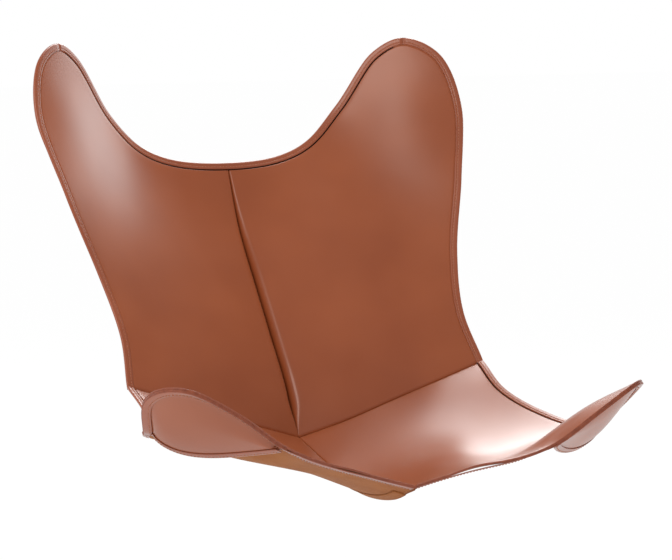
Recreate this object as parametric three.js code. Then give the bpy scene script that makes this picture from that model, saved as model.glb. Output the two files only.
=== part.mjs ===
import * as THREE from 'three';

// Leather, strip and sewing sizes in millimetres
const LEATHER = 3.5;
const POCKET_LEATHER = 2.5;
const TRIM = 1.6;
const GAP = 0.3;
const SEAM_GAP = 0.5;
const END_GAP = 1.5;
const BINDING_WIDTH = 15;
const HEM_WIDTH = 9;
const TAPE_WIDTH = 26;

// How far the left front ear stands above the mean shape, the right one below it
const EAR_TWIST = 22;
const TWIST_HALF_WIDTH = 330;
const TWIST_FROM_Y = 17;
const TWIST_LENGTH = 250;

// Rim of the right half from the top centre round both ears to the front centre
const RIM = {
  valley: [0, 360, 487],
  valleySide: [100, 370, 497],
  shoulder: [160, 376, 522],
  flankLow: [216, 378, 580],
  flankHigh: [280, 358, 676],
  backTip: [326, 329, 702],
  backTipOuter: [376, 285, 674],
  earWidest: [396, 243, 592],
  sideHigh: [368, 185, 463],
  sideMiddle: [333, 134, 339],
  sideLow: [316, 80, 247],
  waist: [322, 24, 167],
  seatSideBack: [323, -48, 135],
  seatSideMiddle: [362, -148, 111],
  seatSideFront: [399, -238, 112],
  frontNose: [424, -301, 183],
  frontTip: [412, -341, 204],
  frontEar: [380, -368, 204],
  frontOuter: [295, -378, 158],
  frontMiddle: [232, -373, 113],
  frontInner: [99, -358, 69],
  frontCentre: [0, -345, 45],
};

// Seams between the four panels and two points that set the fullness of the seat
const CROSSING = [0, 69, 53];
const CENTRE_BACK = [CROSSING, [0, 114, 139], [0, 170, 212], [0, 243, 306], [0, 310, 392], RIM.valley];
const CENTRE_SEAT = [CROSSING, [0, 27, 43], [0, -29, 30], [0, -163, 7], [0, -273, 14], RIM.frontCentre];
const CROSS_SEAM = [CROSSING, [80, 49, 80], [162, 40, 110], [244, 26, 141], RIM.waist];
const SEAT_FULLNESS = [[110, -203, 42], [230, -223, 71]];

// Pocket reach along the rim each side of the tip, mouth sag and mouth opening
const BACK_POCKET = { inner: 235, outer: 215, sag: 18, opening: 30 };
const FRONT_POCKET = { inner: 205, outer: 145, sag: 28, opening: 20 };
const POCKET_END = 8;
const MOUTH_ROUNDNESS = 0.6;

// How much wider than the mean the left front mouth stands open, the right one less
const MOUTH_DIFFERENCE = 4;

// Mesh fineness: rim steps outside the pockets and along them, and the step at a tip
const OPEN_ACROSS = 6;
const POCKET_ACROSS = 8;
const OPEN_ALONG = 8;
const POCKET_ALONG = 8;
const ACROSS = OPEN_ACROSS + POCKET_ACROSS;
const ALONG = OPEN_ALONG + POCKET_ALONG;
const TIP_STEP = 12;
const POCKET_ROWS = 5;
const EDGE_CROWDING = 1.3;
const INSIDE_SHARE = 0.4;
const CURVE_STEPS = 400;

// Finish of each kind of leather
const FACE_LEATHER = { color: 0x9c5a3d, roughness: 0.42, metalness: 0 };
const TRIM_LEATHER = { color: 0x8c4e36, roughness: 0.46, metalness: 0 };
const FLESH_TAPE = { color: 0xb88a58, roughness: 0.75, metalness: 0 };

const vector = (p) => new THREE.Vector3(p[0], p[1], p[2]);
const mirrored = (p) => [-p[0], p[1], p[2]];
const crowded = (k, count) => 1 - (1 - k / count) ** EDGE_CROWDING;

function smooth(t) {
  const c = Math.min(1, Math.max(0, t));
  return c * c * (3 - 2 * c);
}

// Station moved up or down by the twist of the front ears
function twisted(p, side) {
  const lift = smooth(p[0] / TWIST_HALF_WIDTH) * smooth((TWIST_FROM_Y - p[1]) / TWIST_LENGTH);
  return [p[0], p[1], p[2] - side * EAR_TWIST * lift];
}

// Points spaced by arc length along a spline between two of its stations
function runOf(stations, first, last) {
  const curve = new THREE.CatmullRomCurve3(stations.map(vector), false, 'centripetal');
  const spans = stations.length - 1;
  const samples = [];
  for (let k = 0; k <= CURVE_STEPS; k += 1) {
    samples.push(curve.getPoint((first + ((last - first) * k) / CURVE_STEPS) / spans));
  }
  const lengths = [0];
  for (let k = 1; k <= CURVE_STEPS; k += 1) {
    lengths.push(lengths[k - 1] + samples[k].distanceTo(samples[k - 1]));
  }
  const total = lengths[CURVE_STEPS];
  const at = (distance) => {
    let k = 1;
    while (k < CURVE_STEPS && lengths[k] < distance) {
      k += 1;
    }
    const share = (distance - lengths[k - 1]) / (lengths[k] - lengths[k - 1]);
    return samples[k - 1].clone().lerp(samples[k], share);
  };
  return { total, at };
}

// Solve a square system by elimination with pivoting
function solve(matrix, values) {
  const n = values.length;
  const a = matrix.map((row, r) => [...row, values[r]]);
  for (let c = 0; c < n; c += 1) {
    let best = c;
    for (let r = c + 1; r < n; r += 1) {
      if (Math.abs(a[r][c]) > Math.abs(a[best][c])) {
        best = r;
      }
    }
    [a[c], a[best]] = [a[best], a[c]];
    for (let r = c + 1; r < n; r += 1) {
      const factor = a[r][c] / a[c][c];
      for (let k = c; k <= n; k += 1) {
        a[r][k] -= factor * a[c][k];
      }
    }
  }
  const x = new Array(n).fill(0);
  for (let r = n - 1; r >= 0; r -= 1) {
    let sum = a[r][n];
    for (let k = r + 1; k < n; k += 1) {
      sum -= a[r][k] * x[k];
    }
    x[r] = sum / a[r][r];
  }
  return x;
}

// Bent sheet through its stations, a height over the plane of two axes
function bentSheet(stations, plan, height, up) {
  const n = stations.length;
  const key = stations.map((p) => [p[plan[0]], p[plan[1]]]);
  const kernel = (r2) => (r2 > 0 ? 0.5 * r2 * Math.log(r2) : 0);
  const rows = key.map((p) => [
    ...key.map((q) => kernel((p[0] - q[0]) ** 2 + (p[1] - q[1]) ** 2)), 1, p[0], p[1],
  ]);
  rows.push([...key.map(() => 1), 0, 0, 0]);
  rows.push([...key.map((q) => q[0]), 0, 0, 0]);
  rows.push([...key.map((q) => q[1]), 0, 0, 0]);
  const w = solve(rows, [...stations.map((p) => p[height]), 0, 0, 0]);
  const slope = (q) => {
    const g = [w[n + 1], w[n + 2]];
    key.forEach((p, k) => {
      const r2 = (q[0] - p[0]) ** 2 + (q[1] - p[1]) ** 2;
      const pull = r2 > 0 ? w[k] * (Math.log(r2) + 1) : 0;
      g[0] += pull * (q[0] - p[0]);
      g[1] += pull * (q[1] - p[1]);
    });
    return g;
  };
  const point = (q) => {
    let h = w[n] + w[n + 1] * q[0] + w[n + 2] * q[1];
    key.forEach((p, k) => {
      h += w[k] * kernel((q[0] - p[0]) ** 2 + (q[1] - p[1]) ** 2);
    });
    const out = [0, 0, 0];
    out[plan[0]] = q[0];
    out[plan[1]] = q[1];
    out[height] = h;
    return vector(out);
  };
  const normal = (q) => {
    const g = slope(q);
    const out = [0, 0, 0];
    out[plan[0]] = -up * g[0];
    out[plan[1]] = -up * g[1];
    out[height] = up;
    return vector(out).normalize();
  };
  // Plan step that is one millimetre long on the sheet and square to the rim
  const inward = (q, rimDirection, inside) => {
    const g = slope(q);
    let square = [-rimDirection[1], rimDirection[0]];
    if (square[0] * (inside[0] - q[0]) + square[1] * (inside[1] - q[1]) < 0) {
      square = [-square[0], -square[1]];
    }
    const dot = (g[0] * square[0] + g[1] * square[1]) / (1 + g[0] * g[0] + g[1] * g[1]);
    const step = [square[0] - g[0] * dot, square[1] - g[1] * dot];
    const size = Math.sqrt(step[0] * square[0] + step[1] * square[1]);
    return [step[0] / size, step[1] / size];
  };
  const flat = (p) => [p.getComponent(plan[0]), p.getComponent(plan[1])];
  return { point, normal, inward, flat };
}

// Closed shell between two matching grids of points, each cell cut along one diagonal or the other
function shell(name, finish, outer, inner, side, turned = () => false) {
  const rows = outer.length;
  const cols = outer[0].length;
  const count = rows * cols;
  const points = [...outer.flat(), ...inner.flat()];
  const triangles = [];
  const quad = (a, b, c, d) => triangles.push([a, b, c], [a, c, d]);
  const id = (r, c) => r * cols + c;
  for (let r = 0; r < rows - 1; r += 1) {
    for (let c = 0; c < cols - 1; c += 1) {
      const around = [id(r, c), id(r, c + 1), id(r + 1, c + 1), id(r + 1, c)];
      const [a, b, d, e] = turned(r, c) ? [...around.slice(1), around[0]] : around;
      quad(a, b, d, e);
      quad(count + a, count + e, count + d, count + b);
    }
  }
  const loop = [];
  for (let c = 0; c < cols - 1; c += 1) {
    loop.push(id(0, c));
  }
  for (let r = 0; r < rows - 1; r += 1) {
    loop.push(id(r, cols - 1));
  }
  for (let c = cols - 1; c > 0; c -= 1) {
    loop.push(id(rows - 1, c));
  }
  for (let r = rows - 1; r > 0; r -= 1) {
    loop.push(id(r, 0));
  }
  loop.forEach((a, k) => {
    const b = loop[(k + 1) % loop.length];
    quad(b, a, count + a, count + b);
  });
  const placed = points.map((p) => new THREE.Vector3(side * p.x, p.y, p.z));
  let volume = 0;
  triangles.forEach(([a, b, c]) => {
    volume += placed[a].dot(new THREE.Vector3().crossVectors(placed[b], placed[c]));
  });
  const index = triangles.flatMap(([a, b, c]) => (volume > 0 ? [a, b, c] : [a, c, b]));
  const coordinates = placed.flatMap((p) => [p.x, p.y, p.z]);
  const geometry = new THREE.BufferGeometry();
  geometry.setAttribute('position', new THREE.Float32BufferAttribute(coordinates, 3));
  geometry.setIndex(index);
  geometry.computeVertexNormals();
  const mesh = new THREE.Mesh(geometry, new THREE.MeshStandardMaterial(finish));
  mesh.name = name;
  return mesh;
}

const along = (p, direction, distance) => p.clone().addScaledVector(direction, distance);

// Distance along a rim that ends at a tip, with a station where the pocket starts
function rimDistance(k, open, covered, total, reach) {
  if (k <= open) {
    return ((total - reach) * k) / open;
  }
  return total - reach + (reach - TIP_STEP) * crowded(k - open, covered);
}

// Everything known about one panel: rim stations, inset line and grid of the face
function layOut(sheet, rimIn, rimOut, seam, cross, pocket) {
  const rim = [];
  for (let i = 0; i <= ACROSS; i += 1) {
    rim.push(rimIn.at(rimDistance(i, OPEN_ACROSS, POCKET_ACROSS, rimIn.total, pocket.inner)));
  }
  rim.push(rimIn.at(rimIn.total));
  for (let j = ALONG; j >= 0; j -= 1) {
    const fromWaist = rimDistance(j, OPEN_ALONG, POCKET_ALONG, rimOut.total, pocket.outer);
    rim.push(rimOut.at(rimOut.total - fromWaist));
  }
  const last = rim.length - 1;
  const tip = ACROSS + 1;
  const inside = sheet.flat(cross.at(cross.total / 2).lerp(rim[tip], INSIDE_SHARE));
  const rimFlat = rim.map((p) => sheet.flat(p));
  rimFlat[0][0] = SEAM_GAP / 2;
  const steps = rimFlat.map((q, k) => {
    const before = rimFlat[Math.max(0, k - 1)];
    const after = rimFlat[Math.min(last, k + 1)];
    return sheet.inward(q, [after[0] - before[0], after[1] - before[1]], inside);
  });
  const inset = rimFlat.map((q, k) => q.map((c, n) => c + BINDING_WIDTH * steps[k][n]));
  inset[0] = sheet.flat(seam.at(seam.total - BINDING_WIDTH));
  inset[0][0] = SEAM_GAP / 2;
  inset[last] = sheet.flat(cross.at(cross.total - BINDING_WIDTH));
  const face = (q) => ({ at: sheet.point(q), up: sheet.normal(q) });
  const rimFace = rimFlat.map(face);
  const insetFace = inset.map(face);
  rimFace[last].at = rim[last].clone();
  insetFace[last].at = cross.at(cross.total - BINDING_WIDTH);

  const low = [];
  const high = [];
  const left = [];
  const right = [];
  for (let i = 0; i <= ACROSS; i += 1) {
    low.push(sheet.flat(cross.at((cross.total - BINDING_WIDTH) * crowded(i, ACROSS))));
    high.push(i < ACROSS ? inset[i] : inset[tip]);
  }
  for (let j = 0; j <= ALONG; j += 1) {
    const onSeam = seam.at((seam.total - BINDING_WIDTH) * crowded(j, ALONG));
    left.push([SEAM_GAP / 2, sheet.flat(onSeam)[1]]);
    right.push(j < ALONG ? inset[last - j] : inset[tip]);
  }
  low[0] = left[0];
  const grid = [];
  for (let i = 0; i <= ACROSS; i += 1) {
    const u = i / ACROSS;
    const column = [];
    for (let j = 0; j <= ALONG; j += 1) {
      const v = j / ALONG;
      const blend = [0, 1].map((c) => (1 - u) * left[j][c] + u * right[j][c]
        + (1 - v) * low[i][c] + v * high[i][c]
        - (1 - u) * (1 - v) * low[0][c] - u * (1 - v) * low[ACROSS][c]
        - (1 - u) * v * high[0][c] - u * v * high[ACROSS][c]);
      column.push(face(blend));
    }
    column.push(rimFace[i]);
    grid.push(column);
  }
  const edge = [];
  for (let j = 0; j <= ALONG; j += 1) {
    edge.push(rimFace[last - j]);
  }
  edge.push(rimFace[tip]);
  grid.push(edge);
  // Both panels share the cross seam, each drawn back by half the seam gap
  grid.forEach((column, i) => {
    const reach = i <= ACROSS ? (cross.total - BINDING_WIDTH) * crowded(i, ACROSS) : cross.total;
    const seamPoint = cross.at(reach);
    const inwards = column[1].at.clone().sub(seamPoint).normalize();
    const start = along(seamPoint, inwards, SEAM_GAP / 2);
    start.x = Math.max(start.x, SEAM_GAP / 2);
    column[0] = { at: start, up: column[0].up };
  });
  const outwards = rimFace.map((f, k) => {
    const before = rimFace[Math.max(0, k - 1)].at;
    const after = rimFace[Math.min(last, k + 1)].at;
    const run = after.clone().sub(before).normalize();
    const out = new THREE.Vector3().crossVectors(run, f.up).normalize();
    return out.dot(f.at.clone().sub(insetFace[k].at)) > 0 ? out : out.negate();
  });
  const travel = [0];
  for (let k = 1; k <= last; k += 1) {
    travel.push(travel[k - 1] + rim[k].distanceTo(rim[k - 1]));
  }
  return { sheet, rimFace, insetFace, inset, rimFlat, steps, outwards, travel, grid, tip, last };
}

// Thickness of the layers at each rim station, thicker where a pocket is sewn in
function layersOf(panel, span) {
  return panel.travel.map((d, k) => (
    k >= span.first && k <= span.end ? LEATHER + GAP + POCKET_LEATHER : LEATHER));
}

// Pocket layer: plan points and distance behind the face for each rim station and row
function pocketLayer(panel, pocket, span) {
  const { sheet, inset, rimFlat } = panel;
  const a = inset[span.first];
  const b = inset[span.end];
  const middle = [(a[0] + b[0]) / 2, (a[1] + b[1]) / 2];
  const tip = inset[panel.tip];
  const away = [middle[0] - tip[0], middle[1] - tip[1]];
  const reach = Math.hypot(away[0], away[1]);
  const bend = [0, 1].map((c) => middle[c] + (2 * pocket.sag * away[c]) / reach);
  const columns = [];
  for (let k = span.first; k <= span.end; k += 1) {
    const before = panel.travel[k] - panel.travel[span.first];
    const t = before / (panel.travel[span.end] - panel.travel[span.first]);
    const mouth = [0, 1].map((c) => (1 - t) ** 2 * a[c] + 2 * t * (1 - t) * bend[c] + t * t * b[c]);
    const start = inset[k];
    const run = [mouth[0] - start[0], mouth[1] - start[1]];
    const size = Math.hypot(run[0], run[1]);
    const short = Math.max(0, POCKET_END - size);
    const finish = [0, 1].map((c) => mouth[c] + short * panel.steps[k][c]);
    const swell = pocket.opening * Math.sin(Math.PI * t) ** MOUTH_ROUNDNESS;
    const shares = [];
    const length = Math.hypot(finish[0] - start[0], finish[1] - start[1]);
    const hem = Math.min(HEM_WIDTH, length / 2) / length;
    for (let r = 0; r < POCKET_ROWS; r += 1) {
      shares.push(((1 - hem) * r) / (POCKET_ROWS - 1));
    }
    shares.push(1);
    const column = [{ q: rimFlat[k], depth: LEATHER + GAP }];
    shares.forEach((s) => {
      const q = [start[0] + s * (finish[0] - start[0]), start[1] + s * (finish[1] - start[1])];
      column.push({ q, depth: LEATHER + GAP + swell * Math.sin((Math.PI / 2) * s) });
    });
    columns.push(column.map(({ q, depth }) => {
      const up = sheet.normal(q);
      return { inner: along(sheet.point(q), up, -depth), up };
    }));
  }
  return columns;
}

// Folded strip over an edge: face leg, nose and back leg
function foldedStrip(name, stations, side, backwards) {
  const outer = [];
  const inner = [];
  stations.forEach(({ faceRim, faceIn, backRim, backIn, upRim, upIn, out, shift }) => {
    const far = GAP + TRIM;
    const row = [
      along(faceIn, upIn, far), along(faceRim, upRim, far), along(faceRim, out, far),
      along(backRim, out, far), along(backRim, upRim, -far), along(backIn, upIn, -far),
    ];
    const core = [
      along(faceIn, upIn, GAP), along(faceRim, upRim, GAP), along(faceRim, out, GAP),
      along(backRim, out, GAP), along(backRim, upRim, -GAP), along(backIn, upIn, -GAP),
    ];
    outer.push(row.map((p) => p.add(shift)));
    inner.push(core.map((p) => p.add(shift)));
  });
  return shell(name, TRIM_LEATHER, outer, inner, side, (r, c) => (c < 3) === backwards);
}

// Small step along the rim that keeps neighbouring strips apart
function endShift(points, k) {
  if (k > 0 && k < points.length - 1) {
    return new THREE.Vector3();
  }
  const next = k === 0 ? points[1] : points[k - 1];
  return next.clone().sub(points[k]).normalize().multiplyScalar(END_GAP);
}

// Rim binding between two stations of a panel
function binding(name, panel, from, to, thickness, side) {
  const points = panel.rimFace.slice(from, to + 1).map((f) => f.at);
  const stations = points.map((p, n) => {
    const k = from + n;
    const rim = panel.rimFace[k];
    const inner = panel.insetFace[k];
    return {
      faceRim: rim.at, faceIn: inner.at, upRim: rim.up, upIn: inner.up,
      backRim: along(rim.at, rim.up, -thickness[k]),
      backIn: along(inner.at, inner.up, -thickness[k]),
      out: panel.outwards[k], shift: endShift(points, n),
    };
  });
  return foldedStrip(name, stations, side, from >= panel.tip);
}

// Flat facing under the front edge and over the pocket's sewn edge
function facing(name, panel, from, to, thickness, side) {
  const points = panel.rimFace.slice(from, to + 1).map((f) => f.at);
  const sheets = [GAP, GAP + TRIM].map((further) => points.map((p, n) => {
    const rim = panel.rimFace[from + n];
    const inner = panel.insetFace[from + n];
    const depth = thickness[from + n] + further;
    const shift = endShift(points, n);
    return [along(rim.at, rim.up, -depth).add(shift), along(inner.at, inner.up, -depth).add(shift)];
  }));
  return shell(name, TRIM_LEATHER, sheets[0], sheets[1], side, () => true);
}

// Pocket panel and the folded hem along its mouth
function pocketPieces(name, columns, beforeTip, side) {
  const inner = columns.map((c) => c.map((p) => p.inner));
  const outer = columns.map((c) => c.map((p) => along(p.inner, p.up, -POCKET_LEATHER)));
  const ends = columns.slice(1, -1);
  const lastRow = columns[0].length - 1;
  const stations = ends.map((c) => {
    const lip = c[lastRow];
    const back = c[lastRow - 1];
    const out = lip.inner.clone().sub(back.inner).normalize();
    return {
      faceRim: lip.inner, faceIn: back.inner, upRim: lip.up, upIn: back.up,
      backRim: along(lip.inner, lip.up, -POCKET_LEATHER),
      backIn: along(back.inner, back.up, -POCKET_LEATHER),
      out, shift: new THREE.Vector3(),
    };
  });
  const turned = (r, c) => c === 0 && r < beforeTip;
  const layer = shell(`${name}_pocket`, FACE_LEATHER, outer, inner, side, turned);
  return [layer, foldedStrip(`${name}_pocket_hem`, stations, side, false)];
}

// Tape behind a seam, following the back faces of the two panels that meet there
function seamTape(name, seamRows, side) {
  const depth = LEATHER + 2 * GAP;
  const layers = [depth, depth + TRIM].map((d) => seamRows.map(({ here, there }) => {
    const middle = here[0].at.clone().lerp(there[0].at, 0.5);
    const up = here[0].up.clone().add(there[0].up).normalize();
    const mitre = d / up.dot(here[0].up);
    const leg = (pair) => {
      const span = pair[1].at.clone().sub(pair[0].at);
      const share = TAPE_WIDTH / 2 / span.length();
      const lift = pair[0].up.clone().lerp(pair[1].up, share).normalize();
      return along(pair[0].at.clone().addScaledVector(span, share), lift, -d);
    };
    return [leg(here), along(middle, up, -mitre), leg(there)];
  }));
  return shell(name, FLESH_TAPE, layers[0], layers[1], side, (r, c) => c === 0);
}

// One half of the sling, right as modelled or mirrored to the left
function half(side, label) {
  const stations = [
    mirrored(RIM.valleySide),
    ...Object.values(RIM).map((p) => twisted(p, side)),
    mirrored(twisted(RIM.frontInner, -side)),
  ];
  const place = (key) => 1 + Object.keys(RIM).indexOf(key);
  const reverse = [...stations].reverse();
  const fromEnd = (key) => stations.length - 1 - place(key);
  const back = Object.values(RIM).slice(0, place('waist'));
  const seat = Object.values(RIM).slice(place('waist') - 1).map((p) => twisted(p, side));
  const seam = CROSS_SEAM.slice(1, -1);
  const fullness = SEAT_FULLNESS.map((p) => twisted(p, side));
  const backSheet = bentSheet([...back, ...CENTRE_BACK.slice(0, -1), ...seam], [0, 2], 1, -1);
  const seatSheet = bentSheet([...seat, ...CENTRE_SEAT.slice(0, -1), ...seam, ...fullness], [0, 1], 2, 1);
  const cross = runOf(CROSS_SEAM, 0, CROSS_SEAM.length - 1);
  const opening = FRONT_POCKET.opening - side * MOUTH_DIFFERENCE;
  const frontPocket = { ...FRONT_POCKET, opening };
  const backPanel = layOut(
    backSheet, runOf(stations, place('valley'), place('backTip')),
    runOf(stations, place('backTip'), place('waist')),
    runOf(CENTRE_BACK, 0, CENTRE_BACK.length - 1), cross, BACK_POCKET,
  );
  const seatPanel = layOut(
    seatSheet, runOf(reverse, fromEnd('frontCentre'), fromEnd('frontTip')),
    runOf(reverse, fromEnd('frontTip'), fromEnd('waist')),
    runOf(CENTRE_SEAT, 0, CENTRE_SEAT.length - 1), cross, frontPocket,
  );
  const pieces = [];
  const panels = [[`back_panel_${label}`, backPanel], [`seat_panel_${label}`, seatPanel]];
  panels.forEach(([name, panel]) => {
    const faceSide = panel.grid.map((c) => c.map((f) => f.at));
    const fleshSide = panel.grid.map((c) => c.map((f) => along(f.at, f.up, -LEATHER)));
    pieces.push(shell(name, FACE_LEATHER, faceSide, fleshSide, side));
  });

  // Back ear pocket, its hem and the two bindings that close over it
  const span = { first: OPEN_ACROSS, end: backPanel.last - OPEN_ALONG };
  const beforeTip = backPanel.tip - span.first;
  const { tip, last } = backPanel;
  const backStack = layersOf(backPanel, span);
  pieces.push(...pocketPieces(`back_${label}`, pocketLayer(backPanel, BACK_POCKET, span), beforeTip, side));
  pieces.push(binding(`top_binding_${label}`, backPanel, 0, tip, backStack, side));
  pieces.push(binding(`back_side_binding_${label}`, backPanel, tip, last, backStack, side));

  // Front ear pocket, its hem, the facing that closes over it and the side binding
  const frontStack = layersOf(seatPanel, span);
  const single = seatPanel.travel.map(() => LEATHER);
  pieces.push(...pocketPieces(`front_${label}`, pocketLayer(seatPanel, frontPocket, span), beforeTip, side));
  pieces.push(facing(`front_edge_facing_${label}`, seatPanel, 0, span.end, frontStack, side));
  pieces.push(binding(`seat_side_binding_${label}`, seatPanel, span.end, last, single, side));

  // Tape behind the cross seam, clear of the side bindings
  const rows = [];
  for (let i = 1; i < ACROSS; i += 1) {
    rows.push({ here: backPanel.grid[i], there: seatPanel.grid[i] });
  }
  pieces.push(seamTape(`cross_seam_tape_${label}`, rows, side));
  return { pieces, backPanel, seatPanel };
}

// Tapes behind the two centre seams, between the right half and the left half
function centreTape(name, right, left) {
  const flip = (f) => ({
    at: new THREE.Vector3(-f.at.x, f.at.y, f.at.z), up: new THREE.Vector3(-f.up.x, f.up.y, f.up.z),
  });
  const rows = [];
  for (let j = 2; j < ALONG; j += 1) {
    rows.push({
      here: [right.grid[0][j], right.grid[1][j]],
      there: [flip(left.grid[0][j]), flip(left.grid[1][j])],
    });
  }
  return seamTape(name, rows, 1);
}

const right = half(1, 'right');
const left = half(-1, 'left');
const sling = new THREE.Group();
sling.name = 'butterfly_sling';
sling.add(...right.pieces, ...left.pieces);
sling.add(centreTape('centre_back_tape', right.backPanel, left.backPanel));
sling.add(centreTape('centre_seat_tape', right.seatPanel, left.seatPanel));
export default sling;
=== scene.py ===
import math
import bpy
import numpy as np
from mathutils import Matrix, Vector


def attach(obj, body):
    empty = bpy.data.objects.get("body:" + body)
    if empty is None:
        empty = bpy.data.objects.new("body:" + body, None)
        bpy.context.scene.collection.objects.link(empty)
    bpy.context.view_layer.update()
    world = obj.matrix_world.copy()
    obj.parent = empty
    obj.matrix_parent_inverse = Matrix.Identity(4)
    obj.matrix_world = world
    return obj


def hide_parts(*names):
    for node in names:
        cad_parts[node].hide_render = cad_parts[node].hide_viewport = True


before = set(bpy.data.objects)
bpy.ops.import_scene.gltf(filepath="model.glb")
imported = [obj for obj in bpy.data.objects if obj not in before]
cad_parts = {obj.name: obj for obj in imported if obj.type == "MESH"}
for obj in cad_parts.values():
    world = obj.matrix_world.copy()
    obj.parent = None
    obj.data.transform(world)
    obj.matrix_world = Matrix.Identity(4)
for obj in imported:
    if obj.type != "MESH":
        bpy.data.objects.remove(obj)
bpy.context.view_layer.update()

# Shapes are worked out in millimetres and made metres when a mesh is built
MM = 0.001
BODY = "root"

# Thickness of the layers, and how they are thinned where they are sewn in: the face's loss, the
# pocket's rest, how far that goes past a strip, and the slopes back to full thickness
LEATHER = 3.5
POCKET_LEATHER = 2.5
TRIM = 1.4
TAPE = 1.6
SKIVED = 0.75
SKIVED_POCKET = 1.5
SKIVED_PAST_STRIP = 1.3
SKIVED_SLOPE = 1.5
POCKET_SLOPE = 2
SNUG = 0.05

# Widths of the strips and tapes
BINDING_WIDTH = 10
SEAT_BINDING_WIDTH = 9
FACING_WIDTH = 14
HEM_WIDTH = 12
TAPE_WIDTH = 26

# Stitches: their pitch and size, and where their rows run on a binding, on the facing and on a hem
STITCH_PITCH = 5.4
STITCH_LENGTH = 4.0
STITCH_RADIUS = 0.6
STITCH_SHARE = 0.573
STITCH_HEIGHT = 1.1
FACING_STITCH_IN = 3.5
FACING_STITCH_DEPTH = 1.75
HEM_STITCH_IN = 2.6
HEM_STITCH_DEPTH = 1.4
CLEAR_OF_ENDS = slice(2, -2)

# Flat size of each kind of sheet in metres
BACK_FLAT = (0.42, 0.72)
SEAT_FLAT = (0.46, 0.50)
BACK_POCKET_FLAT = (0.27, 0.24)
FRONT_POCKET_FLAT = (0.21, 0.20)

# How far the left front ear stands above the mean shape, the right one below it, and both lean left
EAR_TWIST = 22
EAR_LEAN = 4
TWIST_HALF_WIDTH = 330
TWIST_FROM_Y = 17
TWIST_LENGTH = 250

# How far the back's leather ends inside its outline, away from the centre and from the waist
BACK_INSET = 2.5
INSET_FROM_CENTRE = 130
INSET_FROM_WAIST = 90

# How far the left back ear stands inwards, and where that sets in
LEFT_EAR_SHIFT = 3.2
SHIFT_HALF_WIDTH = 200
SHIFT_FROM_Z = 180
SHIFT_HEIGHT = 120

# Rim of the right half from the top centre round both ears to the front centre
RIM = {
    "valley": (0, 360, 487),
    "valley_side": (100, 370, 497),
    "shoulder": (160, 376, 522),
    "flank_low": (216, 378, 580),
    "flank_high": (280, 358, 676),
    "back_tip": (326, 329, 702),
    "back_tip_outer": (376, 285, 674),
    "ear_widest": (396, 243, 592),
    "side_high": (368, 185, 463),
    "side_middle": (333, 134, 339),
    "side_low": (316, 80, 247),
    "waist": (322, 24, 167),
    "seat_side_back": (323, -48, 135),
    "seat_side_middle": (362, -148, 114),
    "seat_side_front": (399, -238, 124),
    "front_nose": (424, -301, 183),
    "front_tip": (412, -341, 204),
    "front_ear": (380, -368, 204),
    "front_outer": (295, -378, 158),
    "front_middle": (232, -373, 115.5),
    "front_inner": (99, -358, 73.5),
    "front_centre": (0, -345, 46.5),
}
RIM_NAMES = list(RIM)
CROSSING = (0, 69, 53)
CENTRE_BACK = [CROSSING, (0, 114, 139), (0, 170, 212), (0, 243, 306), (0, 310, 392), RIM["valley"]]
CENTRE_SEAT = [CROSSING, (0, 27, 43), (0, -29, 30), (0, -163, 7), (0, -273, 18), RIM["front_centre"]]
CROSS_SEAM = [CROSSING, (80, 49, 80), (162, 40, 110), (244, 26, 141), RIM["waist"]]
SEAT_FULLNESS = [(112, -210, 48), (230, -223, 70)]

# Pocket reach along the rim each side of the tip, sag and opening of its mouth, the shares by which
# the sag and the opening lie towards its outer end, and the groove beside its sewn edge
BACK_POCKET = {"inner": 235, "outer": 215, "sag": 18, "opening": 30, "skew": 0, "lean": 1, "groove": 0}
FRONT_POCKET = {"outer": 143, "sag": 37, "groove": 1.2}
FRONT_MOUTHS = {
    "right": {"inner": 214, "opening": 20, "skew": 0.4, "lean": 1.9},
    "left": {"inner": 229, "opening": 18, "skew": 0.32, "lean": 1.65},
}
POCKET_END = 8
MOUTH_ROUNDNESS = 0.6
BULGE_ROUNDNESS = 0.35
LIP_IN_POCKET = 0.5
POCKET_EDGE_SWELL = 0.3

# Rolls of leather beside the seams, with the shares of a seam over which its roll fades, what is left
# of the back's roll near the top, and the stretch beside the crossing that is pressed straight down
BACK_ROLL = 13
BACK_SEAM_DEPTH = 1.5
CROSS_ROLL = 4
SEAT_ROLL = 2.2
SEAT_SEAM_DEPTH = 1
ROLL_FADE_LOW = 0.13
ROLL_FADE_HIGH = 0.38
ROLL_AT_TOP = 0.28
ROLL_END = 0.035
SEAT_FADE = 0.06
CROSSING_BLEND = 30

# Soft ridge down each back ear where a rod would lie: x, z and how far it stands out
EAR_RIDGE = [(322, 645, 3), (314, 610, 6.5), (306, 570, 9), (301, 530, 9), (301, 490, 7), (306, 450, 4)]

# Lip of the front ears: height of its crest on each side, distance of the crest from the rim, and
# the reach along the rim each side of the tip, then how it fades along the rim and in from it
FRONT_LIP = {"right": 19, "left": 14, "crest": 45, "inner": 285, "outer": 15}
LIP_FADE_INNER = 90
LIP_FADE_OUTER = 150
LIP_FALL = 1.6
LIP_BLEND = 0.3

# Grooves beside the bindings, shallow past the tip of a back ear and, past the nose of a front ear,
# beside the pocket's sewn edge
DEEP_GROOVE = 2.6
SHALLOW_GROOVE = 0.5
SHALLOW_BEFORE_TIP = 5
SHALLOW_FADE = 50
GROOVE_FROM_STRIP = 1.1
GROOVE_WIDTH = 1.0
# Half-width of the painted shade at the bottom of a groove
PAINTED_SHADE_HALF_WIDTH = 1.0
POCKET_GROOVE = 12.5
NOSE_FROM = 25

# How far before the front pocket's outer end the seat's rim starts to be bound
BOUND_BEFORE_END = 10
BOUND_FADE = 9

# Stretches over which the rows beside the rim turn along the cross seam, a face is drawn to its
# seams, and the end of a pocket's layer is evened out under a binding
TURN_TO_CROSS = 60
DRAWN_TO_SEAM = 60
EVENED_STATIONS = 5

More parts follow.
